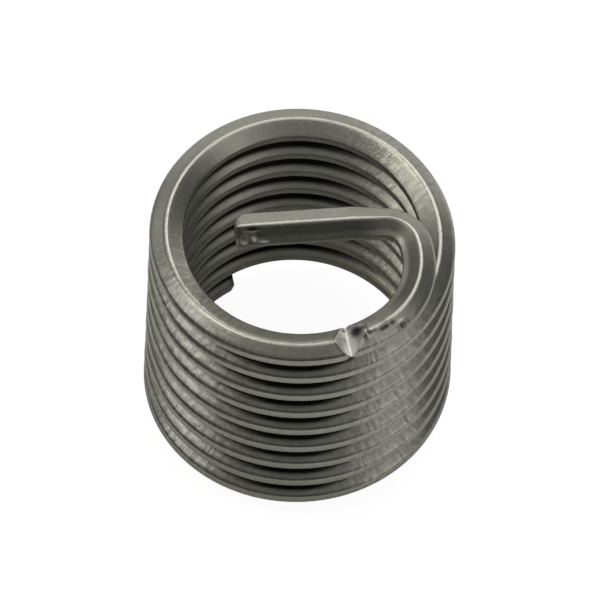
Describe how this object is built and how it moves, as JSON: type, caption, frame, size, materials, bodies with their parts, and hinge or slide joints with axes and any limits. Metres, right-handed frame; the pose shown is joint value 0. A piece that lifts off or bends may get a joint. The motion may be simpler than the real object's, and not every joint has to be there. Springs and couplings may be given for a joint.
{
  "type": "helical thread insert",
  "caption": "Tight coil of rhombic stainless wire that lines a tapped hole with a hard screw thread, with a bent driving tang and a break-off notch.",
  "frame": {"origin": "on the coil's axis, at the level of the free end that it stands on", "axes": "+Z along the coil's axis from the free end towards the tang; the tang's bar crosses the bore nearly along -X"},
  "size_m": [0.0118, 0.0118, 0.0122],
  "materials": {
    "wire": "bright drawn austenitic stainless wire"
  },
  "bodies": {
    "root": {"wire_insert": "wire"}
  },
  "joints": []
}
